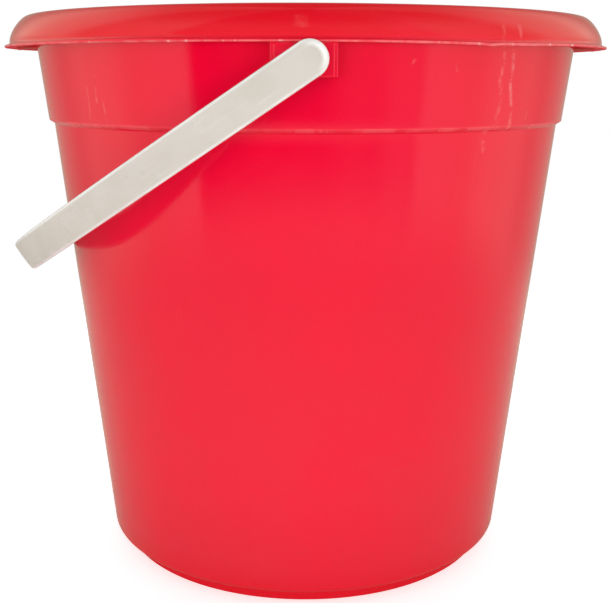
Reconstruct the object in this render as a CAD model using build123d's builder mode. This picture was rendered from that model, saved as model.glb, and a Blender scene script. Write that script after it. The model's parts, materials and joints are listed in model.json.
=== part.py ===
from build123d import *
import math
import os

os.makedirs("parts", exist_ok=True)

# A plastic sand bucket: one moulded bucket and one moulded bail handle that snaps into it.
# Millimetres, +Z up. The origin is the centre of the circle the bucket stands on, and the
# handle's pins lie along Y.

# ---- Driving dimensions ----
rim_radius = 110.0        # outer edge of the rim's lip
bucket_height = 200.0     # resting plane to the top of the rim
wall = 2.0                # moulded wall thickness

lip_bottom = 189.2        # underside of the rim's turned-down edge
lip_height = 0.8          # thickness of the thin lip that runs round that edge
lip_proud = 1.8           # how far the lip stands out of the rim's side
lip_round = 0.3
lip_blend = 1.2           # hollow curve from the lip up into the rim's side
dome_width = 6.6          # rim dome, from its crest out to its side
dome_fullness = 0.36      # 0 is a plain slope from side to crest, 0.55 a quarter of an ellipse
mouth_round = 4.0         # rounding from the crest down into the bucket

collar_radius = 98.8      # outside of the wall level with the lip's underside
collar_draft = 6.7        # degrees, above the step
step_height = 163.6       # middle of the step below the collar
step_in = 1.7             # how far the wall steps in there
step_drop = 1.2           # height over which it steps in
step_round = 0.7          # lower edge of the collar
step_corner = 0.3         # corner below that edge
body_draft = 6.05         # degrees, below the step

floor_bottom = 5.0        # underside of the floor
corner_round = 2.4        # outside corner between the wall and the floor
foot_radius = 72.2        # outside of the ring that the bucket stands on
foot_wall = 2.2
foot_round = 0.7

pivot_height = 183.5      # handle pins above the resting plane
ear_width = 19.0          # moulded box under the rim that carries a pin
ear_bottom = 179.5
ear_face = 108.0          # flat outer face of the ear, from the bucket's axis
ear_wall = 2.0
pad_width = 16.8          # raised pad round the pin hole
pad_proud = 0.4

pin_radius = 2.6
pin_gap = 0.08            # radial running clearance of a pin in its hole
snap_radius = 3.3         # snap head behind the ear's face
snap_gap = 0.35           # end clearance of the snap head and of the shoulder
snap_length = 2.4
nose_radius = 2.0         # inner end of the tapered snap head
shoulder_radius = 4.0     # shoulder that keeps the arm off the ear

band_width = 10.7         # handle's moulded band
band_thick = 3.8
band_round = 1.2          # softened edges of the band
arm_offset = 113.8        # middle of each arm, from the bucket's axis
grip_reach = 112.9        # middle of the band at the grip, from the pin axis
arm_straight = 16.0       # straight length of each arm, from its pin
arm_past_pin = 1.9        # how far past its pin each arm's round end is centred
bend_width = 63.5         # how far the bend from arm to grip comes in along Y
handle_drop = 33.85       # degrees below level, where the grip lies against the wall


def collar_at(z):
    """Outside radius of the wall above the step."""
    return collar_radius + (z - lip_bottom) * math.tan(math.radians(collar_draft))


def body_at(z):
    """Outside radius of the wall below the step."""
    top = collar_at(step_height) - step_in
    return top + (z - step_height) * math.tan(math.radians(body_draft))


# ---- Bucket ----
rim_side = rim_radius - lip_proud
crest_radius = rim_side - dome_width
lip_top = lip_bottom + lip_height
dome_bottom = lip_top + lip_blend
under_rim = bucket_height - wall
step_low = step_height - step_drop / 2
step_high = step_height + step_drop / 2
floor_top = floor_bottom + wall
mouth_low = bucket_height - mouth_round
mouth_radius = collar_at(mouth_low) - wall


def dome_curve(inset):
    """The rim's dome, from its side up to its crest, drawn inset into the plastic."""
    side = rim_side - inset
    top = bucket_height - inset
    Bezier(
        (side, dome_bottom),
        (side, dome_bottom + dome_fullness * (top - dome_bottom)),
        (crest_radius + dome_fullness * (side - crest_radius), top),
        (crest_radius, top),
    )


def soften(sketch, r, z, size):
    """Round the corner of a section that is nearest to a point."""
    fillet(sketch.vertices().sort_by_distance((r, z))[0], size)


with BuildSketch(Plane.XZ) as section:
    with BuildLine():
        # underside: floor, foot ring, outside corner, then the outer wall up to the rim
        Polyline(
            (0, floor_bottom),
            (foot_radius - foot_wall, floor_bottom),
            (foot_radius - foot_wall, 0),
            (foot_radius, 0),
            (foot_radius, floor_bottom),
            (body_at(floor_bottom), floor_bottom),
            (body_at(step_low), step_low),
            (collar_at(step_high), step_high),
            (collar_at(under_rim), under_rim),
            (crest_radius, under_rim),
        )
        # hollow underside of the rim, out to its lip
        dome_curve(wall)
        Polyline(
            (rim_side - wall, dome_bottom),
            (rim_side - wall, lip_bottom),
            (rim_radius, lip_bottom),
            (rim_radius, lip_top),
            (rim_side + lip_blend, lip_top),
        )
        # outside of the rim, over its crest and down into the mouth
        CenterArc((rim_side + lip_blend, dome_bottom), lip_blend, 180, 90)
        dome_curve(0)
        EllipticalCenterArc(
            (crest_radius, mouth_low), crest_radius - mouth_radius, mouth_round,
            start_angle=90, arc_size=90,
        )
        # inner wall down to the floor
        Polyline(
            (mouth_radius, mouth_low),
            (collar_at(step_high) - wall, step_high),
            (body_at(step_low) - wall, step_low),
            (body_at(floor_top) - wall, floor_top),
            (0, floor_top),
            (0, floor_bottom),
        )
    make_face()
    soften(section, body_at(floor_bottom), floor_bottom, corner_round)
    soften(section, body_at(floor_top) - wall, floor_top, corner_round + wall)
    for r in (foot_radius, foot_radius - foot_wall):
        soften(section, r, 0, foot_round)
    for inset in (0, wall):
        soften(section, body_at(step_low) - inset, step_low, step_corner)
        soften(section, collar_at(step_high) - inset, step_high, step_round)
    for z in (lip_bottom, lip_top):
        soften(section, rim_radius, z, lip_round)

# One ear: a box open at the bottom, from the middle of the wall out to its flat face. It
# follows the middle of the rim's skin above, so that it ends inside the plastic there.
skin = wall / 2
with BuildSketch(Plane.XZ) as ear_section:
    with BuildLine():
        Polyline(
            (crest_radius, bucket_height - skin),
            (collar_at(under_rim) - skin, bucket_height - skin),
            (collar_at(ear_bottom) - skin, ear_bottom),
            (rim_radius, ear_bottom),
            (rim_radius, lip_bottom + lip_height / 2),
            (rim_side - skin, lip_bottom + lip_height / 2),
            (rim_side - skin, dome_bottom),
        )
        dome_curve(skin)
    make_face()

ear_depth = ear_face + pad_proud
ear_height = bucket_height - ear_bottom
ear_middle = (ear_bottom + bucket_height) / 2
hole_depth = 4 * ear_wall

with BuildPart() as ear:
    revolve(ear_section.sketch, axis=Axis.Z)
    with Locations((0, -ear_depth / 2, ear_middle)):
        Box(ear_width, ear_depth, ear_height, mode=Mode.INTERSECT)
    # the face is flat, with a slightly raised pad across its middle
    for side in (-1, 1):
        with Locations((side * (pad_width + ear_width) / 4, -ear_depth, ear_middle)):
            Box((ear_width - pad_width) / 2, 2 * pad_proud, ear_height, mode=Mode.SUBTRACT)
    with Locations((0, -(ear_face - ear_wall) / 2, ear_middle)):
        Box(ear_width - 2 * ear_wall, ear_face - ear_wall, ear_height, mode=Mode.SUBTRACT)
    with Locations((0, -ear_face, pivot_height)):
        Cylinder(pin_radius + pin_gap, hole_depth, rotation=(90, 0, 0), mode=Mode.SUBTRACT)

with BuildPart() as bucket:
    revolve(section.sketch, axis=Axis.Z)
    add(ear.part)
    add(ear.part.rotate(Axis.Z, 180))

bucket.part.label = "bucket"
export_step(bucket.part, "parts/bucket.step")

# ---- Handle ----
# It is drawn level, with its pins through the origin and its loop reaching along -X.
half_thick = band_thick / 2
grip_half = arm_offset - bend_width
shoulder_end = ear_depth + snap_gap
snap_start = ear_face - ear_wall - snap_gap
snap_edge = snap_length / 3


def loop_side(offset):
    """The loop's outline, offset outwards from the middle of the band."""
    reach = grip_reach + offset
    Line((arm_past_pin, arm_offset + offset), (-arm_straight, arm_offset + offset))
    for side, start in ((1, 90), (-1, 180)):
        EllipticalCenterArc(
            (-arm_straight, side * grip_half), reach - arm_straight, bend_width + offset,
            start_angle=start, arc_size=90,
        )
    Line((-reach, grip_half), (-reach, -grip_half))
    Line((-arm_straight, -arm_offset - offset), (arm_past_pin, -arm_offset - offset))


with BuildPart() as loop:
    with BuildSketch():
        with BuildLine():
            loop_side(half_thick)
            loop_side(-half_thick)
            for side in (1, -1):
                Line(
                    (arm_past_pin, side * (arm_offset - half_thick)),
                    (arm_past_pin, side * (arm_offset + half_thick)),
                )
        make_face()
    extrude(amount=band_width / 2, both=True)
    with Locations((arm_past_pin, -arm_offset, 0), (arm_past_pin, arm_offset, 0)):
        Cylinder(band_width / 2, band_thick, rotation=(90, 0, 0))
    across = loop.edges().filter_by(Axis.Y)
    outline = loop.edges().filter_by(Axis.Y, reverse=True)
    grip = across.group_by(Axis.X)[0] + across.group_by(Axis.X)[1]
    fillet(outline + grip, band_round)
    # a pin on each arm: shoulder, shank, and a snap head with a tapered nose
    with BuildSketch(Plane.XY):
        with BuildLine():
            Polyline(
                (0, -arm_offset),
                (shoulder_radius, -arm_offset),
                (shoulder_radius, -shoulder_end),
                (pin_radius, -shoulder_end),
                (pin_radius, -snap_start),
                (snap_radius, -snap_start),
                (snap_radius, -snap_start + snap_edge),
                (nose_radius, -snap_start + snap_length),
                (0, -snap_start + snap_length),
                close=True,
            )
        make_face()
    revolve(axis=Axis.Y)
    mirror(about=Plane.XZ)

with BuildPart() as handle:
    with Locations(Location((0, 0, pivot_height), (0, -handle_drop, 0))):
        add(loop.part)

handle.part.label = "handle"
export_step(handle.part, "parts/handle.step")
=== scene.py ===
import bpy
import json
import math
from mathutils import Matrix, Vector, noise


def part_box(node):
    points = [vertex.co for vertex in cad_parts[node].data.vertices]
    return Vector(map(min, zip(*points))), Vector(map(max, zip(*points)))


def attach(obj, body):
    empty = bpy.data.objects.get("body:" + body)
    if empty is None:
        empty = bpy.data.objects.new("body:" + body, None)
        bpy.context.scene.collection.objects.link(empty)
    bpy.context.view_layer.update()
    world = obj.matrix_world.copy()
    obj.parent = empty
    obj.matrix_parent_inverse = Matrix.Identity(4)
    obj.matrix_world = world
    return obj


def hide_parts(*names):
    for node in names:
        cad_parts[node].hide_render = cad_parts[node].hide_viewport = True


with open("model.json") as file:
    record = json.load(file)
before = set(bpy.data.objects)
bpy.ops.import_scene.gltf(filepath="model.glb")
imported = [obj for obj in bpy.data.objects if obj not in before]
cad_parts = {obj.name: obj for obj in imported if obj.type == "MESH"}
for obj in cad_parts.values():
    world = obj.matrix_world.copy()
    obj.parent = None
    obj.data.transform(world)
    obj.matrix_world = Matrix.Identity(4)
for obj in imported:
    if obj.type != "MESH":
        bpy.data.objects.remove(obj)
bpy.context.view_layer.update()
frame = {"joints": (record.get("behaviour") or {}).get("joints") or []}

# A moulded red sand bucket and its white bail handle, in metres, +Z up. The bucket's own axis
# is Z, its handle's pins lie along Y and the handle is folded down towards -X.

MM = 0.001

# ---- Sizes taken from the frame ----
bucket_low, bucket_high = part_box("bucket")
handle_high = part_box("handle")[1]
rim_radius = (bucket_high.x - bucket_low.x) / 2
height = bucket_high.z
pivot = Vector(frame["joints"][0]["pos_m"])

# ---- Bucket section, the same named sizes as the CAD part ----
wall = 2.0 * MM
lip_bottom = height - 10.8 * MM
lip_height = 0.8 * MM
lip_proud = 1.8 * MM
lip_round = 0.3 * MM
lip_blend = 1.2 * MM
dome_width = 6.6 * MM
dome_fullness = 0.36
mouth_round = 4.0 * MM
collar_radius = rim_radius - 11.2 * MM
collar_slope = math.tan(math.radians(6.7))
body_slope = math.tan(math.radians(6.05))
step_height = height - 36.4 * MM
step_in = 1.7 * MM
step_drop = 1.2 * MM
step_round = 0.7 * MM
step_corner = 0.3 * MM
floor_bottom = 5.0 * MM
corner_round = 2.4 * MM
foot_radius = 72.2 * MM
foot_wall = 2.2 * MM
foot_round = 0.7 * MM

ear_width = 19.0 * MM
ear_bottom = height - 20.5 * MM
ear_face = rim_radius - 2.0 * MM
ear_wall = 2.0 * MM
ear_round = 0.5 * MM
pad_width = 16.8 * MM
pad_proud = 0.4 * MM
hole_radius = 2.68 * MM
hole_chamfer = 0.25 * MM

rim_side = rim_radius - lip_proud
crest_radius = rim_side - dome_width
lip_top = lip_bottom + lip_height
dome_bottom = lip_top + lip_blend
under_rim = height - wall

# ---- Handle ----
band_half = 5.35 * MM
band_thick = 3.8 * MM
band_round = 1.2 * MM
band_crown = 0.22 * MM
end_round = 1.0 * MM      # how much more the outer face falls away round an arm's end
end_flat = 2.4 * MM       # radius of the flat that is left in the middle of that end
end_glint_from = 0.35           # share of the way from that flat to the edge where the painted highlight begins
arm_offset = handle_high.y - band_thick / 2
grip_reach = arm_offset - 0.9 * MM
arm_straight = 16.0 * MM
arm_past_pin = 1.9 * MM
bend_width = 63.5 * MM
handle_drop = math.radians(33.85)

pin_radius = 2.6 * MM
pin_end_gap = 0.35 * MM
shoulder_radius = 4.0 * MM
snap_radius = 3.3 * MM
snap_edge = 0.8 * MM
snap_length = 2.4 * MM
nose_radius = 2.0 * MM

AXIS = 0.001 * MM         # a point of an outline closer to the axis than this lies on it
SEGMENTS = 320            # steps round the bucket
WALL_STEP = 4.0 * MM      # longest step up the wall

# Where the lip isn't quite level: degrees round to the right from the front, rise, half width.
LIP_WAVES = ((-29, 0.30 * MM, 13), (30, -0.50 * MM, 15))

# How the rim is out of round: waves round the circle, how far they stand out, phase in radians.
ROUND_WAVES = ((2, 0.10 * MM, 0.4), (5, 0.06 * MM, 1.9))

# Moulding flash on the lip, as noise round the circle: scale, shift, and level that is added.
# Burrs and notches show only where the lip is ragged.
RAGGED = (1.7, (0.4, 1.3, 0.0), 0.25)
BURRS = (26.0, (0.0, 0.0, 0.0), -0.15)
NOTCHES = (75.0, (5.0, 0.0, 0.0), -0.20)
burr_out = 1.0 * MM
burr_down = 1.1 * MM
notch_in = 0.9 * MM
notch_up = 0.8 * MM
flash_root = 0.3          # share of the lip's width, next to the rim, that has no flash


def collar_at(z):
    """Outside radius of the wall above the step."""
    return collar_radius + (z - lip_bottom) * collar_slope


def body_at(z):
    """Outside radius of the wall below the step."""
    return collar_at(step_height) - step_in + (z - step_height) * body_slope


# ---- Outline helpers ----
def arc(centre, a, b, start, end, steps):
    """Points of an ellipse between two angles in degrees."""
    points = []
    for i in range(steps + 1):
        t = math.radians(start + (end - start) * i / steps)
        points.append(Vector((centre[0] + a * math.cos(t), centre[1] + b * math.sin(t))))
    return points


def bezier(a, b, c, d, steps):
    """Points of a cubic Bezier curve."""
    a, b, c, d = Vector(a), Vector(b), Vector(c), Vector(d)
    points = []
    for i in range(steps + 1):
        t = i / steps
        s = 1 - t
        points.append(a * s**3 + b * (3 * s * s * t) + c * (3 * s * t * t) + d * t**3)
    return points


def rounded_corner(before, corner, after, radius):
    """Points of the arc that rounds one corner of an outline."""
    steps = 6
    a, b, c = Vector(before), Vector(corner), Vector(after)
    to_a, to_c = (a - b).normalized(), (c - b).normalized()
    half = to_a.angle(to_c) / 2
    centre = b + (to_a + to_c).normalized() * (radius / math.sin(half))
    start = b + to_a * (radius / math.tan(half)) - centre
    end = b + to_c * (radius / math.tan(half)) - centre
    turn = -start.angle_signed(end)
    points = []
    for i in range(steps + 1):
        cos, sin = math.cos(turn * i / steps), math.sin(turn * i / steps)
        turned = Vector((start.x * cos - start.y * sin, start.x * sin + start.y * cos))
        points.append(centre + turned)
    return points


def rounded_outline(corners):
    """An open outline from (r, z, rounding) corners."""
    points = []
    for i, (r, z, radius) in enumerate(corners):
        if radius:
            points += rounded_corner(corners[i - 1][:2], (r, z), corners[i + 1][:2], radius)
        else:
            points.append(Vector((r, z)))
    return points


def divided(points, longest):
    """The outline with its long runs divided, so that a slight warp bends them smoothly."""
    result = [points[0]]
    for a, b in zip(points, points[1:]):
        runs = max(1, math.ceil((b - a).length / longest))
        result += [a.lerp(b, i / runs) for i in range(1, runs + 1)]
    return result


def make_object(name, vertices, faces, sharp=None):
    """A smooth mesh object. sharp is the angle in degrees from which an edge stays sharp."""
    mesh = bpy.data.meshes.new(name)
    mesh.from_pydata(vertices, [], faces)
    mesh.polygons.foreach_set("use_smooth", [True] * len(mesh.polygons))
    if sharp:
        mesh.set_sharp_from_angle(angle=math.radians(sharp))
    mesh.update()
    piece = bpy.data.objects.new(name, mesh)
    bpy.context.scene.collection.objects.link(piece)
    return piece


# ---- Bucket shell ----
def dome_curve(inset, steps):
    """The rim's dome, from its side up to its crest, drawn inset into the plastic."""
    side = rim_side - inset
    top = height - inset
    return bezier(
        (side, dome_bottom),
        (side, dome_bottom + dome_fullness * (top - dome_bottom)),
        (crest_radius + dome_fullness * (side - crest_radius), top),
        (crest_radius, top),
        steps,
    )


def bucket_outline():
    """The wall's section, from the middle of the underside round to the middle of the floor."""
    step_low, step_high = step_height - step_drop / 2, step_height + step_drop / 2
    floor_top = floor_bottom + wall
    mouth_low = height - mouth_round
    mouth_radius = collar_at(mouth_low) - wall
    outside = rounded_outline([
        (0.0, floor_bottom, 0),
        (foot_radius - foot_wall, floor_bottom, foot_round),
        (foot_radius - foot_wall, 0.0, foot_round),
        (foot_radius, 0.0, foot_round),
        (foot_radius, floor_bottom, foot_round),
        (body_at(floor_bottom), floor_bottom, corner_round),
        (body_at(step_low), step_low, step_corner),
        (collar_at(step_high), step_high, step_round),
        (collar_at(under_rim), under_rim, wall / 2),
        (crest_radius, under_rim, 0),
    ])
    hollow = dome_curve(wall, steps=14)[::-1]
    lip = rounded_outline([
        (rim_side - wall, dome_bottom, 0),
        (rim_side - wall, lip_bottom, lip_round),
        (rim_radius, lip_bottom, lip_round),
        (rim_radius, lip_top, lip_round),
        (rim_side + lip_blend, lip_top, 0),
    ])
    blend = arc((rim_side + lip_blend, dome_bottom), lip_blend, lip_blend, 270, 180, steps=8)
    dome = dome_curve(0, steps=26)
    mouth_in = crest_radius - mouth_radius
    mouth = arc((crest_radius, mouth_low), mouth_in, mouth_round, 90, 180, steps=10)
    inside = rounded_outline([
        (mouth_radius, mouth_low, 0),
        (collar_at(step_high) - wall, step_high, step_round),
        (body_at(step_low) - wall, step_low, step_corner),
        (body_at(floor_top) - wall, floor_top, corner_round + wall),
        (0.0, floor_top, 0),
    ])
    runs = (outside, hollow, lip, blend, dome, mouth, inside)
    points = list(outside[:1])
    for run in runs:
        points += run[1:]
    return divided(points, WALL_STEP)


def flash_noise(angle, scale, shift, level):
    """One noise of the flash at an angle, cut off at zero once its level is added."""
    along = Vector((math.cos(angle), math.sin(angle), 0.0))
    return max(0.0, noise.noise(along * scale + Vector(shift)) + level)


def lip_flash(angle, r, z):
    """Uneven moulding flash: how far a point of the lip stands out and up."""
    reach = (r - rim_side) / lip_proud
    if reach < flash_root or z > dome_bottom:
        return 0.0, 0.0
    ragged = flash_noise(angle, *RAGGED) * reach
    burr = flash_noise(angle, *BURRS) * ragged
    notch = flash_noise(angle, *NOTCHES) * ragged
    return burr * burr_out - notch * notch_in, notch * notch_up - burr * burr_down


def shell_warp(angle, r, z):
    """A thin moulding is never quite round or flat: how far it stands out and up at a point."""
    out = sum(size * math.sin(waves * angle + phase) for waves, size, phase in ROUND_WAVES)
    up = 0.0
    if z >= lip_bottom and r > crest_radius:
        low = 1 - (z - lip_bottom) / (height - lip_bottom)
        for centre, rise, half_width in LIP_WAVES:
            off = math.degrees(math.remainder(angle - math.pi - math.radians(centre), 2 * math.pi))
            up += rise * math.exp(-(off / half_width) ** 2) * low
    return out * (z / height) ** 2, up


def outside_share(p):
    """1 on the outside of the wall and the rim, 0 on the inside."""
    outer = collar_at(p.y) if p.y > step_height else body_at(p.y)
    return 1.0 if p.x > outer - wall / 2 or p.y < floor_bottom + wall / 2 else 0.0


def make_bucket():
    """The shell, revolved in steps round the axis, with its flash and its warp."""
    ring = [p for p in bucket_outline() if p.x > AXIS]
    vertices = []
    for p in ring:
        for s in range(SEGMENTS):
            angle = 2 * math.pi * s / SEGMENTS
            flash_out, flash_up = lip_flash(angle, p.x, p.y)
            warp_out, warp_up = shell_warp(angle, p.x, p.y)
            r, z = p.x + flash_out + warp_out, p.y + flash_up + warp_up
            vertices.append((-r * math.sin(angle), r * math.cos(angle), z))
    faces = []
    for i in range(len(ring) - 1):
        a, b = i * SEGMENTS, (i + 1) * SEGMENTS
        for s in range(SEGMENTS):
            t = (s + 1) % SEGMENTS
            faces.append((a + s, a + t, b + t, b + s))
    # the underside and the floor inside are closed by a fan each
    for i, z, order in ((0, floor_bottom, -1), (len(ring) - 1, floor_bottom + wall, 1)):
        centre = len(vertices)
        vertices.append((0.0, 0.0, z))
        for s in range(SEGMENTS):
            pair = (i * SEGMENTS + s, i * SEGMENTS + (s + 1) % SEGMENTS)[::order]
            faces.append(pair + (centre,))
    piece = make_object("bucket_shell", vertices, faces)
    outside = piece.data.attributes.new("outside", "FLOAT", "POINT")
    shares = [value for p in ring for value in [outside_share(p)] * SEGMENTS]
    outside.data.foreach_set("value", shares + [1.0, 0.0])
    return piece


# ---- Ears ----
def prism(outline, x_low, x_high, side):
    """A plate across X with an outline of (r, z) points, on the ear's side of the bucket."""
    count = len(outline)
    vertices = [(x, side * r, z) for x in (x_low, x_high) for r, z in outline]
    faces = [tuple(range(count)), tuple(range(2 * count - 1, count - 1, -1))]
    for i in range(count):
        j = (i + 1) % count
        faces.append((i, i + count, j + count, j))
    return vertices, faces


def face_plate(side):
    """The ear's flat face with its raised pad and pin hole, as rings from the hole outwards."""
    steps, edge_steps = 96, 4
    top = lip_bottom + lip_height / 2
    pad_face = ear_face + pad_proud

    def round_ring(radius, depth):
        ring = []
        for i in range(steps):
            t = 2 * math.pi * (i + 0.5) / steps
            ring.append((radius * math.cos(t), side * depth, pivot.z + radius * math.sin(t)))
        return ring

    def square_ring(half_width, depth, inset):
        ring = []
        for i in range(steps):
            t = 2 * math.pi * (i + 0.5) / steps
            across, up = math.cos(t), math.sin(t)
            reach_up = (top - pivot.z if up > 0 else pivot.z - ear_bottom) - inset
            reach = min(half_width / abs(across), reach_up / abs(up))
            ring.append((across * reach, side * depth, pivot.z + up * reach))
        return ring

    rings = [
        round_ring(hole_radius, ear_face - ear_wall),
        round_ring(hole_radius, pad_face - hole_chamfer),
        round_ring(hole_radius + hole_chamfer, pad_face),
        square_ring(pad_width / 2 - pad_proud / 2, pad_face, ear_round),
        square_ring(pad_width / 2, pad_face - pad_proud / 3, ear_round),
        square_ring(pad_width / 2 + pad_proud / 2, ear_face, ear_round),
    ]
    for i in range(edge_steps + 1):
        t = math.radians(90 - 90 * i / edge_steps)
        rings.append(square_ring(
            ear_width / 2 - ear_round * (1 - math.cos(t)), ear_face - ear_round * (1 - math.sin(t)),
            ear_round * (1 - math.cos(t)),
        ))
    rings.append(square_ring(ear_width / 2, ear_face - ear_wall, 0.0))
    vertices = [p for ring in rings for p in ring]
    faces = []
    for k in range(len(rings)):
        a, b = k * steps, (k + 1) % len(rings) * steps
        for i in range(steps):
            j = (i + 1) % steps
            faces.append((a + i, a + j, b + j, b + i))
    return vertices, faces


def make_ear(name, side):
    """One ear: two ribs from the wall and a flat face. side is -1 for the front, 1 for the back."""
    sunk = wall / 2
    plate_middle = ear_face - ear_wall / 2
    rib = [(collar_at(ear_bottom) - sunk, ear_bottom), (plate_middle, ear_bottom)]
    rib += [(min(p.x, plate_middle), p.y) for p in dome_curve(sunk, steps=12)]
    rib.append((collar_at(under_rim) - sunk, height - sunk))
    parts = [prism(rib, x, x + ear_wall, side) for x in (-ear_width / 2, ear_width / 2 - ear_wall)]
    parts.append(face_plate(side))
    vertices, faces = [], []
    for part_vertices, part_faces in parts:
        start = len(vertices)
        vertices += part_vertices
        faces += [tuple(start + i for i in face) for face in part_faces]
    return make_object(name, vertices, faces, sharp=32)


# ---- Handle ----
def band_section():
    """The band's closed section as (across, out, painted highlight): round corners and a crowned
    face.
    """
    half = band_thick / 2
    corner_steps, face_steps = 6, 8
    points = []
    for side_v, side_t, start in ((1, 1, 0), (-1, 1, 90), (-1, -1, 180), (1, -1, 270)):
        centre = (side_v * (band_half - band_round), side_t * (half - band_round))
        for i in range(corner_steps + 1):
            t = math.radians(start + 90 * i / corner_steps)
            # a painted highlight, strongest half way round each rounded corner
            edge_highlight = math.sin(math.pi * i / corner_steps) ** 3
            points.append((
                centre[0] + band_round * math.cos(t), centre[1] + band_round * math.sin(t), edge_highlight,
            ))
        if side_v == side_t:
            for i in range(1, face_steps):
                points.append((centre[0] * (1 - 2 * i / face_steps), side_t * half, 0.0))
    crowned = []
    for v, t, edge_highlight in points:
        lift = band_crown * (1 - (v / band_half) ** 2) if t > half / 2 else 0.0
        crowned.append((v, t + lift, edge_highlight))
    return crowned


def loop_path():
    """The band's middle line in its own plane: reach from the pins, Y, and outward direction."""
    grip_half = arm_offset - bend_width
    depth = grip_reach - arm_straight
    straight = arm_straight + arm_past_pin
    straight_steps, bend_steps, grip_steps = 8, 48, 24
    half = []
    for i in range(straight_steps):
        reach = straight * i / straight_steps - arm_past_pin
        half.append((reach, arm_offset, Vector((0.0, 1.0))))
    for i in range(bend_steps + 1):
        t = math.radians(90 - 90 * i / bend_steps)
        outward = Vector((math.cos(t) / depth, math.sin(t) / bend_width)).normalized()
        half.append((
            arm_straight + depth * math.cos(t), grip_half + bend_width * math.sin(t), outward,
        ))
    grip = []
    for i in range(1, grip_steps):
        grip.append((grip_reach, grip_half * (1 - 2 * i / grip_steps), Vector((1.0, 0.0))))
    other = [(reach, -y, Vector((out.x, -out.y))) for reach, y, out in reversed(half)]
    return half + grip + other


def tilted(reach, y, across):
    """A point of the handle's plane, turned down to where the handle rests."""
    cos, sin = math.cos(handle_drop), math.sin(handle_drop)
    return (pivot.x - reach * cos - across * sin, y, pivot.z - reach * sin + across * cos)


def make_handle():
    """The loop: its section carried along its path, with a rounded end beyond each pin."""
    section = band_section()
    count = len(section)
    path = loop_path()
    cap_steps = 14

    def fall(v):
        """How far out towards the edge of an arm's end a point is, from 0 to 1."""
        return max(0.0, (abs(v) - end_flat) / (band_half - end_flat))

    def cap(end):
        """Turned copies of the section that round off an arm beyond its pin, and their painted
        highlight.
        """
        reach, y, out = path[end]
        rings, highlight_strength = [], []
        for k in range(cap_steps, 0, -1):
            angle = math.radians(90 * k / cap_steps)
            ring, wear_and_glint = [], []
            for v, t, edge_highlight in section:
                drop = end_round * fall(v) ** 2 * math.sin(angle) if t > 0 else 0.0
                ring.append(tilted(
                    reach - abs(v) * math.sin(angle), y + out.y * (t - drop), v * math.cos(angle),
                ))
                # the outer part of the rounded end carries a painted highlight as well
                wear_and_glint.append(max(edge_highlight, math.sin(angle) if t > 0 and fall(v) > end_glint_from else 0.0))
            rings.append(ring)
            highlight_strength.append(wear_and_glint)
        return rings, highlight_strength

    middle = [
        [tilted(reach + out.x * t, y + out.y * t, v) for v, t, _ in section]
        for reach, y, out in path
    ]
    plain = [point[2] for point in section]
    start_rings, start_highlight = cap(0)
    end_rings, end_highlight = cap(-1)
    rings = start_rings + middle + end_rings[::-1]
    highlight_strength = start_highlight + [plain] * len(middle) + end_highlight[::-1]
    vertices = [p for ring in rings for p in ring]
    faces = []
    for k in range(len(rings) - 1):
        a, b = k * count, (k + 1) * count
        for i in range(count):
            j = (i + 1) % count
            faces.append((a + i, a + j, b + j, b + i))
    piece = make_object("handle_loop", vertices, faces)
    # the painted highlight goes to the material as a value at each vertex
    edge_highlight = piece.data.attributes.new("edge_highlight", "FLOAT", "POINT")
    edge_highlight.data.foreach_set("value", [value for ring in highlight_strength for value in ring])
    weld = piece.modifiers.new("weld_ends", "WELD")
    weld.merge_threshold = 0.002 * MM
    return piece


def make_pin(name, side):
    """A pin on the inside of one arm: shoulder, shank and a tapered snap head."""
    shoulder_end = ear_face + pad_proud + pin_end_gap
    snap_start = ear_face - ear_wall - pin_end_gap
    stations = rounded_outline([
        (0.0, arm_offset, 0),
        (shoulder_radius, arm_offset, 0),
        (shoulder_radius, shoulder_end, 0.3 * MM),
        (pin_radius, shoulder_end, 0.15 * MM),
        (pin_radius, snap_start, 0.1 * MM),
        (snap_radius, snap_start, 0.25 * MM),
        (snap_radius, snap_start - snap_edge, 0.3 * MM),
        (nose_radius, snap_start - snap_length, 0.4 * MM),
        (0.0, snap_start - snap_length, 0),
    ])
    steps = 48
    ring = [p for p in stations if p.x > AXIS]
    vertices = []
    for p in ring:
        for i in range(steps):
            t = 2 * math.pi * i / steps
            vertices.append((pivot.x + p.x * math.cos(t), side * p.y, pivot.z + p.x * math.sin(t)))
    faces = [tuple(range(steps)), tuple(range(len(vertices) - 1, len(vertices) - steps - 1, -1))]
    for k in range(len(ring) - 1):
        for i in range(steps):
            j = (i + 1) % steps
            faces.append((k * steps + i, k * steps + j, (k + 1) * steps + j, (k + 1) * steps + i))
    return make_object(name, vertices, faces, sharp=40)


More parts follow.
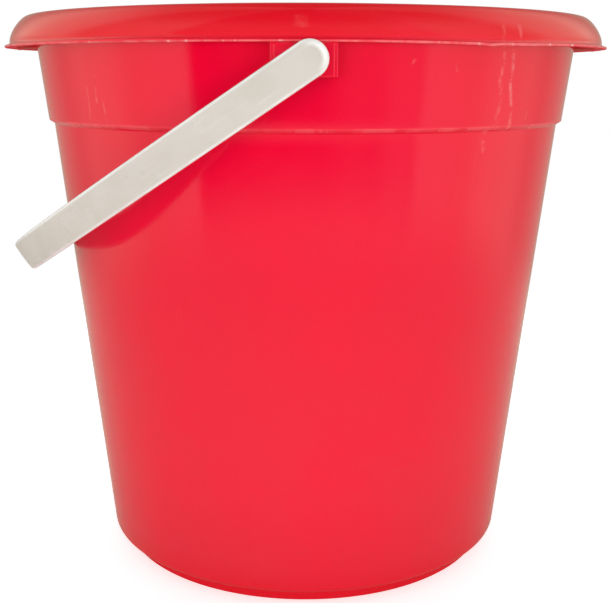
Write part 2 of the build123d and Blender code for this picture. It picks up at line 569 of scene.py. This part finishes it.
# ---- Node trees ----
class Nodes:
    """Short calls for building a node tree."""

    def __init__(self, tree):
        self.tree = tree
        self.tree.nodes.clear()

    def add(self, kind, **settings):
        node = self.tree.nodes.new(kind)
        for key, value in settings.items():
            setattr(node, key, value)
        return node

    def link(self, source, target):
        self.tree.links.new(source, target)

    def put(self, socket, value):
        if isinstance(value, bpy.types.NodeSocket):
            self.link(value, socket)
        else:
            socket.default_value = value

    def math(self, operation, a, b=0.0):
        node = self.add("ShaderNodeMath", operation=operation)
        self.put(node.inputs[0], a)
        self.put(node.inputs[1], b)
        return node.outputs[0]

    def chain(self, operation, values):
        """Several values joined by one operation, from the first to the last."""
        result = values[0]
        for value in values[1:]:
            result = self.math(operation, result, value)
        return result

    def times(self, *values):
        return self.chain("MULTIPLY", values)

    def plus(self, *values):
        return self.chain("ADD", values)

    def minus(self, a, b):
        return self.math("SUBTRACT", a, b)

    def hypot(self, a, b):
        return self.math("SQRT", self.plus(self.times(a, a), self.times(b, b)))

    def rest(self, value):
        """What is left of 1 after a value."""
        return self.minus(1.0, value)

    def near(self, value, centre, solid, reach):
        """1 within solid of the centre, fading to 0 at reach."""
        off = self.math("ABSOLUTE", self.minus(value, centre))
        return self.ramp(off, solid, reach, 1.0, 0.0)

    def split(self, vector):
        """The X, Y and Z of a vector."""
        node = self.add("ShaderNodeSeparateXYZ")
        self.link(vector, node.inputs[0])
        return node.outputs

    def join(self, *values):
        """A vector of up to three values."""
        node = self.add("ShaderNodeCombineXYZ")
        for socket, value in zip(node.inputs, values):
            self.put(socket, value)
        return node.outputs[0]

    def ray(self, kind):
        """1 on rays of one kind, 0 on others."""
        return self.add("ShaderNodeLightPath").outputs[kind]

    def place(self):
        """Where a point is on its own object."""
        return self.add("ShaderNodeTexCoord").outputs["Object"]

    def attribute(self, name):
        """A value that the mesh carries at its vertices."""
        return self.add("ShaderNodeAttribute", attribute_name=name).outputs["Fac"]

    def ramp(self, value, low, high, to_low=0.0, to_high=1.0):
        """A smooth step from to_low to to_high as value goes from low to high."""
        node = self.add("ShaderNodeMapRange", interpolation_type="SMOOTHSTEP")
        self.put(node.inputs["Value"], value)
        node.inputs["From Min"].default_value = low
        node.inputs["From Max"].default_value = high
        node.inputs["To Min"].default_value = to_low
        node.inputs["To Max"].default_value = to_high
        return node.outputs["Result"]

    def streaks(self, vector, stretch, detail=3.0, roughness=0.6):
        """Noise with its own scale along each axis, so that it runs in streaks."""
        mapping = self.add("ShaderNodeMapping")
        mapping.inputs["Scale"].default_value = stretch
        self.link(vector, mapping.inputs["Vector"])
        return self.noise(mapping.outputs["Vector"], 1.0, detail, roughness)

    def noise(self, vector, scale, detail=3.0, roughness=0.6):
        """Noise of the same scale every way."""
        node = self.add("ShaderNodeTexNoise")
        self.link(vector, node.inputs["Vector"])
        node.inputs["Scale"].default_value = scale
        node.inputs["Detail"].default_value = detail
        node.inputs["Roughness"].default_value = roughness
        return node.outputs["Fac"]

    def mix(self, factor, a, b):
        """Colour a where factor is 0, colour b where it is 1."""
        node = self.add("ShaderNodeMix", data_type="RGBA")
        self.put(node.inputs["Factor"], factor)
        self.put(node.inputs[6], a)
        self.put(node.inputs[7], b)
        return node.outputs[2]

    def bump(self, relief, strength, distance, normal=None):
        """A normal bent by a relief, on top of the normal that is given."""
        node = self.add("ShaderNodeBump")
        node.inputs["Strength"].default_value = strength
        node.inputs["Distance"].default_value = distance
        self.link(relief, node.inputs["Height"])
        if normal is not None:
            self.link(normal, node.inputs["Normal"])
        return node.outputs["Normal"]


def new_material(name):
    """A material with an empty tree, its Principled shader and its node helper."""
    material = bpy.data.materials.new(name)
    material.use_nodes = True
    n = Nodes(material.node_tree)
    shader = n.add("ShaderNodeBsdfPrincipled")
    output = n.add("ShaderNodeOutputMaterial")
    n.link(shader.outputs["BSDF"], output.inputs["Surface"])
    return material, n, shader


# ---- Red plastic ----
IOR = 1.49                # both plastics are polypropylene

RED = (0.835, 0.0006, 0.033, 1)
# painted reflection of the white floor: the lower wall is paler and hazier
RED_FLOOR_HAZE = (0.81, 0.0145, 0.040, 1)
# painted shade: the bottom is darker near the floor
RED_SHADED_BOTTOM = (0.82, 0.0060, 0.022, 1)
# painted shade: the rim is darker, as less light reaches it from above
RED_SHADED_RIM = (0.77, 0.0006, 0.012, 1)
RED_CLOUD = (0.90, 0.002, 0.034, 1)
# pale stress whitening of the scrapes, and also the painted highlight on the lip's lower edge
RED_STRESSED_AND_LIT = (0.92, 0.20, 0.20, 1)
# paler spots of torn flash within the lip's painted highlight
RED_TORN_AND_LIT = (0.94, 0.48, 0.46, 1)
# painted highlight on the collar's lower edge
RED_STEP_HIGHLIGHT = (0.95, 0.14, 0.15, 1)
RED_SCUFFED = (0.90, 0.040, 0.065, 1)

# Heights between which the painted shade at the bottom turns into the lower wall's painted
# reflection of the floor, that into the plain red, and the plain red into the rim's painted shade.
BOTTOM_FADE = (3.0 * MM, 16.0 * MM)
WALL_FADE = (40.0 * MM, 165.0 * MM)
RIM_FADE = (lip_bottom - 0.5 * MM, dome_bottom + 1.0 * MM)

# Scrapes, scuffs and nicks on the front, from the rim down to just below the step, and one painted
# highlight on the rim: degrees round to the right from the front, then in millimetres the height of
# the middle, half of the length and half of the width, then lean and strength.
MARKS = (
    (41.6, 176.0, 14.0, 1.30, -0.14, 0.72),
    (38.3, 183.0, 8.0, 1.15, -0.06, 0.50),
    (38.6, 170.5, 8.0, 1.60, 0.10, 0.34),
    (36.6, 160.0, 5.0, 1.90, 0.10, 0.34),
    (36.0, 191.8, 3.6, 1.00, 0.0, 0.36),
    (32.5, 191.8, 3.2, 0.95, 0.0, 0.24),
    # a painted highlight on the rim's dome, drawn like a pale scuff
    (-0.6, 194.8, 2.0, 2.60, 0.0, 0.16),
    (-42.6, 175.5, 5.0, 1.20, 0.05, 0.34),
    (-40.8, 169.5, 4.5, 1.00, -0.10, 0.28),
    (-45.4, 171.5, 6.0, 0.90, 0.10, 0.20),
    (18.5, 183.5, 1.6, 0.80, 0.60, 0.34),
    (27.5, 182.5, 1.5, 0.80, -0.40, 0.26),
    (47.6, 167.5, 2.4, 0.75, 0.20, 0.20),
)
mark_sway = 5.0 * MM      # how far a mark wanders from its line, at most half of it each way


def scrapes_and_glint(n, along, z, unrolled):
    """How strongly each point is scraped, and where the painted highlight on the rim lies."""
    wander = n.streaks(unrolled, (0.0, 110.0, 1.0), roughness=0.65)
    sway = n.times(n.minus(wander, 0.5), mark_sway)
    broken = n.ramp(n.streaks(unrolled, (260.0, 240.0, 1.0), roughness=0.7), 0.40, 0.62)
    lines = []
    for angle, middle, half_length, half_width, lean, strength in MARKS:
        rise = n.minus(z, middle * MM)
        centre = n.plus(n.times(rise, lean), math.radians(angle) * collar_radius)
        off = n.math("ABSOLUTE", n.minus(n.minus(along, centre), sway))
        lines.append(n.times(
            n.ramp(off, 0.0, half_width * MM, strength, 0.0),
            n.near(rise, 0.0, 0.7 * half_length * MM, half_length * MM),
            broken,
        ))
    return n.chain("MAXIMUM", lines)


def red_plastic(name):
    """Opaque red polypropylene: glossy, finely grained, with pale scrapes and a stressed lip.
    Shade, a reflection of the floor and edge highlights are painted into its colour.
    """
    material, n, shader = new_material(name)
    place = n.place()
    x, y, z = n.split(place)
    radius = n.hypot(x, y)
    angle = n.math("ARCTAN2", x, n.times(y, -1.0))
    along = n.times(angle, collar_radius)
    unrolled = n.join(along, z)
    outside = n.attribute("outside")

    # painted shade darkens the bottom and the rim, and a painted reflection of the floor pales the
    # lower wall
    colour = n.mix(n.ramp(z, *WALL_FADE), RED_FLOOR_HAZE, RED)
    colour = n.mix(n.ramp(z, *BOTTOM_FADE), RED_SHADED_BOTTOM, colour)
    colour = n.mix(n.ramp(z, *RIM_FADE), colour, RED_SHADED_RIM)
    cloud = n.noise(place, 30.0, detail=4.0)
    colour = n.mix(n.ramp(cloud, 0.40, 0.72, 0.0, 0.35), colour, RED_CLOUD)
    speckle = n.noise(place, 1100.0, roughness=0.7)
    colour = n.mix(n.ramp(speckle, 0.50, 0.80, 0.0, 0.10), colour, RED_SCUFFED)

    # faint upright rub marks, as sand and stacking leave them, and the scrapes with one painted
    # highlight
    rub = n.streaks(unrolled, (700.0, 34.0, 1.0))
    rub_zone = n.noise(unrolled, 22.0, detail=2.0, roughness=0.5)
    rubs = n.times(n.ramp(rub, 0.58, 0.80), n.ramp(rub_zone, 0.50, 0.70), outside, 0.36)
    marks = n.times(scrapes_and_glint(n, along, z, unrolled), outside)
    colour = n.mix(rubs, colour, RED_SCUFFED)
    colour = n.mix(marks, colour, RED_STRESSED_AND_LIT)

    # the collar's lower edge carries a painted highlight: a pale, broken line
    step_highlight_noise = n.streaks(unrolled, (90.0, 10.0, 1.0))
    step_highlight = n.times(
        n.near(z, step_height + 0.5 * MM, 0.3 * MM, 0.95 * MM),
        n.ramp(step_highlight_noise, 0.35, 0.65, 0.15, 0.50),
        outside,
    )
    colour = n.mix(step_highlight, colour, RED_STEP_HIGHLIGHT)

    # the lip's lower edge is stressed pale where its flash was trimmed, with a painted highlight
    # along it
    lip_highlight = n.times(
        n.ramp(z, lip_bottom + 0.25 * lip_height, lip_bottom + 0.9 * lip_height, 1.0, 0.0),
        n.ramp(radius, rim_radius - 0.8 * MM, rim_radius - 0.2 * MM),
    )
    trimmed = n.streaks(unrolled, (180.0, 10.0, 1.0))
    torn = n.streaks(unrolled, (420.0, 10.0, 1.0), detail=2.0, roughness=0.5)
    colour = n.mix(n.times(lip_highlight, n.ramp(trimmed, 0.34, 0.66, 0.25, 0.85)), colour, RED_STRESSED_AND_LIT)
    colour = n.mix(n.times(lip_highlight, n.ramp(torn, 0.60, 0.70)), colour, RED_TORN_AND_LIT)
    n.link(colour, shader.inputs["Base Color"])

    # worn places are duller, and so are the lip's underside and the collar's lower edge
    sheen = n.ramp(n.noise(place, 55.0), 0.3, 0.7, 0.06, 0.11)
    under_lip = n.times(
        n.near(z, lip_bottom, 0.1 * MM, 0.4 * MM),
        n.ramp(radius, crest_radius, crest_radius + MM),
    )
    wear_and_glint = n.times(n.math("MAXIMUM", rubs, marks), 0.25)
    dull = n.times(n.math("MAXIMUM", under_lip, step_highlight), 0.6)
    n.link(n.plus(sheen, wear_and_glint, dull), shader.inputs["Roughness"])
    shader.inputs["IOR"].default_value = IOR

    # fine grain, slow ripples of the moulding, and the scrapes
    normal = n.bump(n.noise(place, 900.0), 0.14, 0.10 * MM)
    ripple = n.streaks(unrolled, (60.0, 30.0, 1.0), detail=2.0, roughness=0.5)
    normal = n.bump(ripple, 0.12, 0.5 * MM, normal)
    normal = n.bump(marks, 0.6, 0.12 * MM, normal)
    n.link(normal, shader.inputs["Normal"])
    return material


# ---- White plastic ----
WHITE_CLEAN = (0.64, 0.595, 0.535, 1)
WHITE_SOILED = (0.57, 0.525, 0.46, 1)
# the pale of rub streaks, and also of the painted highlights on the rounded edges
WHITE_RUBBED_AND_LIT = (0.97, 0.965, 0.94, 1)


def levelled(n, place):
    """A place on the handle as if the handle were level, so that X runs along its arms."""
    x, y, z = n.split(place)
    cos, sin = math.cos(handle_drop), math.sin(handle_drop)
    level_x = n.plus(n.times(x, cos), n.times(z, sin))
    level_z = n.minus(n.times(z, cos), n.times(x, sin))
    return n.join(level_x, y, level_z)


def white_plastic(name):
    """Warm white polypropylene, satin, a little soiled and rubbed, with painted highlights on its
    rounded edges.
    """
    material, n, shader = new_material(name)
    place = n.place()
    cloud = n.noise(place, 70.0, detail=4.0)
    colour = n.mix(n.ramp(cloud, 0.42, 0.75, 0.0, 0.6), WHITE_CLEAN, WHITE_SOILED)
    streak = n.streaks(levelled(n, place), (50.0, 300.0, 900.0))
    colour = n.mix(n.ramp(streak, 0.55, 0.80, 0.0, 0.18), colour, WHITE_RUBBED_AND_LIT)
    # the painted highlight on the rounded edges and ends, broken up by noise
    highlight_strength = n.ramp(n.noise(place, 140.0), 0.25, 0.6, 0.55, 1.0)
    colour = n.mix(n.times(n.attribute("edge_highlight"), highlight_strength), colour, WHITE_RUBBED_AND_LIT)
    n.link(colour, shader.inputs["Base Color"])

    n.link(n.ramp(n.noise(place, 90.0), 0.3, 0.7, 0.26, 0.40), shader.inputs["Roughness"])
    shader.inputs["IOR"].default_value = IOR

    # fine grain and the slow flow lines of the moulding
    normal = n.bump(n.noise(place, 1300.0), 0.12, 0.10 * MM)
    flow = n.noise(place, 120.0, detail=2.0, roughness=0.5)
    normal = n.bump(flow, 0.15, 0.3 * MM, normal)
    n.link(normal, shader.inputs["Normal"])
    return material


# ---- Assembly ----
red = red_plastic("red_polypropylene")
white = white_plastic("white_polypropylene")

bucket = make_bucket()
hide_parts("bucket")
ears = [make_ear("ear_front", -1), make_ear("ear_back", 1)]
for piece in [bucket] + ears:
    piece.data.materials.append(red)
    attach(piece, "bucket")

loop = make_handle()
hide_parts("handle")
pins = [make_pin("pin_front", -1), make_pin("pin_back", 1)]
for piece in [loop] + pins:
    piece.data.materials.append(white)
    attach(piece, "handle")


# ---- Floor ----
floor_radius = 0.60
FLOOR_FADE = (0.34, 0.58)                 # radii between which the paper fades out
PAPER = (0.83, 0.83, 0.83, 1)
PAPER_IN_GLOSS = (0.76, 0.73, 0.60, 1)
paper_glow = 0.64


def make_floor():
    """A round sheet of white paper that fades into the white surround. It glows a little to the
    camera only, and gloss sees it darker and warmer."""
    rings, steps = 12, 96
    vertices = [(0.0, 0.0, 0.0)]
    for k in range(1, rings + 1):
        r = floor_radius * k / rings
        for i in range(steps):
            t = 2 * math.pi * i / steps
            vertices.append((r * math.cos(t), r * math.sin(t), 0.0))
    faces = [(0, 1 + i, 1 + (i + 1) % steps) for i in range(steps)]
    for k in range(rings - 1):
        a, b = 1 + k * steps, 1 + (k + 1) * steps
        for i in range(steps):
            j = (i + 1) % steps
            faces.append((a + i, b + i, b + j, a + j))
    floor = make_object("floor", vertices, faces)
    material, n, shader = new_material("floor_paper")
    shader.inputs["Roughness"].default_value = 0.9
    shader.inputs["Emission Color"].default_value = (1, 1, 1, 1)
    n.link(n.mix(n.ray("Is Glossy Ray"), PAPER, PAPER_IN_GLOSS), shader.inputs["Base Color"])
    n.link(n.times(n.ray("Is Camera Ray"), paper_glow), shader.inputs["Emission Strength"])
    x, y = n.split(n.place())[:2]
    n.link(n.ramp(n.hypot(x, y), *FLOOR_FADE, 1.0, 0.0), shader.inputs["Alpha"])
    floor.data.materials.append(material)


# ---- Surround ----
# Brightness as gloss and bounced light see it. Each fade is the two angles it lies between, in
# degrees from the camera's side, and the values before and after it. LIT counts its angles to
# the right, and the others are the same on both sides.
BESIDE_LOW = ((72, 90, 0.0, 0.36), (104, 122, 1.0, 0.20))
BESIDE_HIGH = ((85, 105, 0.0, 0.70), (132, 152, 1.0, 0.0))
LIT = ((-50, -45, 1.0, 0.0), (5, 22, 0.0, 0.22), (28, 40, 0.0, 0.26), (47, 52, 0.0, 0.52))
WARM = ((40, 80, 0.0, 1.0),)
SIDE_TINT = (1.0, 0.97, 0.78, 1)


def fades(n, angle, table):
    """The fades of a table, as values that change with an angle."""
    values = []
    for start, end, before, after in table:
        values.append(n.ramp(angle, math.radians(start), math.radians(end), before, after))
    return values


def make_surround():
    """A white studio to the camera. Gloss and bounced light see it brightest at the sides, and
    dark behind the camera where the room isn't lit, and gloss sees the sides slightly warm."""
    world = bpy.data.worlds.new("studio")
    bpy.context.scene.world = world
    world.use_nodes = True
    n = Nodes(world.node_tree)
    background = n.add("ShaderNodeBackground")
    output = n.add("ShaderNodeOutputWorld")
    n.link(background.outputs[0], output.inputs["Surface"])
    x, y, z = n.split(n.add("ShaderNodeTexCoord").outputs["Generated"])
    front = n.times(y, -1.0)
    around = n.math("ARCTAN2", x, front)
    off = n.math("ABSOLUTE", around)

    beside_low = n.times(*fades(n, off, BESIDE_LOW))
    beside_high = n.times(*fades(n, off, BESIDE_HIGH))
    upward = n.ramp(z, -0.1, 0.25)
    beside = n.plus(n.times(beside_low, n.rest(upward)), n.times(beside_high, upward))
    level = n.plus(n.ramp(front, -0.6, 0.5, 0.40, 0.90), beside)
    level = n.times(level, n.ramp(z, 0.65, 0.95, 1.0, 0.40))

    unlit = n.rest(n.plus(*fades(n, around, LIT)))
    dark = n.times(unlit, n.ramp(z, -0.40, -0.27), n.ramp(z, -0.05, 0.15, 0.97, 0.50))
    level = n.times(level, n.rest(dark))

    seen = n.ray("Is Camera Ray")
    level = n.plus(n.times(level, n.rest(seen)), seen)
    warmth = n.times(*fades(n, off, WARM), n.ray("Is Glossy Ray"))
    n.link(n.mix(warmth, (1, 1, 1, 1), SIDE_TINT), background.inputs["Color"])
    n.link(level, background.inputs["Strength"])


# ---- Lights ----
# A wide soft light low behind the camera, which reaches the wall under the rim, and a higher one
# behind the bucket: name, place, width and height, watts.
LIGHTS = (
    ("key", (0.0, -1.6, 0.10), (2.2, 0.5), 18.3),
    ("fill", (0.0, 1.5, 0.7), (2.2, 0.8), 12.0),
)


def make_lights():
    """The area lights, turned to the middle of the bucket. They don't show in reflections."""
    target = Vector((0.0, 0.0, height / 2))
    for name, place, size, power in LIGHTS:
        light = bpy.data.lights.new(name, "AREA")
        light.shape = "RECTANGLE"
        light.size, light.size_y = size
        light.energy = power
        lamp = bpy.data.objects.new(name, light)
        bpy.context.scene.collection.objects.link(lamp)
        lamp.location = place
        lamp.rotation_euler = (target - Vector(place)).to_track_quat("-Z", "Y").to_euler()
        lamp.visible_glossy = False
        lamp.visible_camera = False


# ---- Camera ----
def make_camera():
    """A close camera just below the rim, tipped down so that the bucket fills the frame."""
    distance = 396.0 * MM
    camera_height = height - 19.5 * MM
    around = math.radians(0.21)
    aside = math.radians(0.012)
    tip_down = math.radians(12.68)
    roll = 0.003
    data = bpy.data.cameras.new("camera")
    data.sensor_width = 36.0
    data.lens = 59.78
    data.clip_start = 0.02
    camera = bpy.data.objects.new("camera", data)
    bpy.context.scene.collection.objects.link(camera)
    camera.location = (distance * math.sin(around), -distance * math.cos(around), camera_height)
    turn = Matrix.Rotation(around + aside, 4, "Z") @ Matrix.Rotation(math.pi / 2 - tip_down, 4, "X")
    camera.rotation_euler = (turn @ Matrix.Rotation(roll, 4, "Z")).to_euler()
    bpy.context.scene.camera = camera


make_floor()
make_surround()
make_lights()
make_camera()
bpy.context.scene.view_settings.view_transform = "Standard"
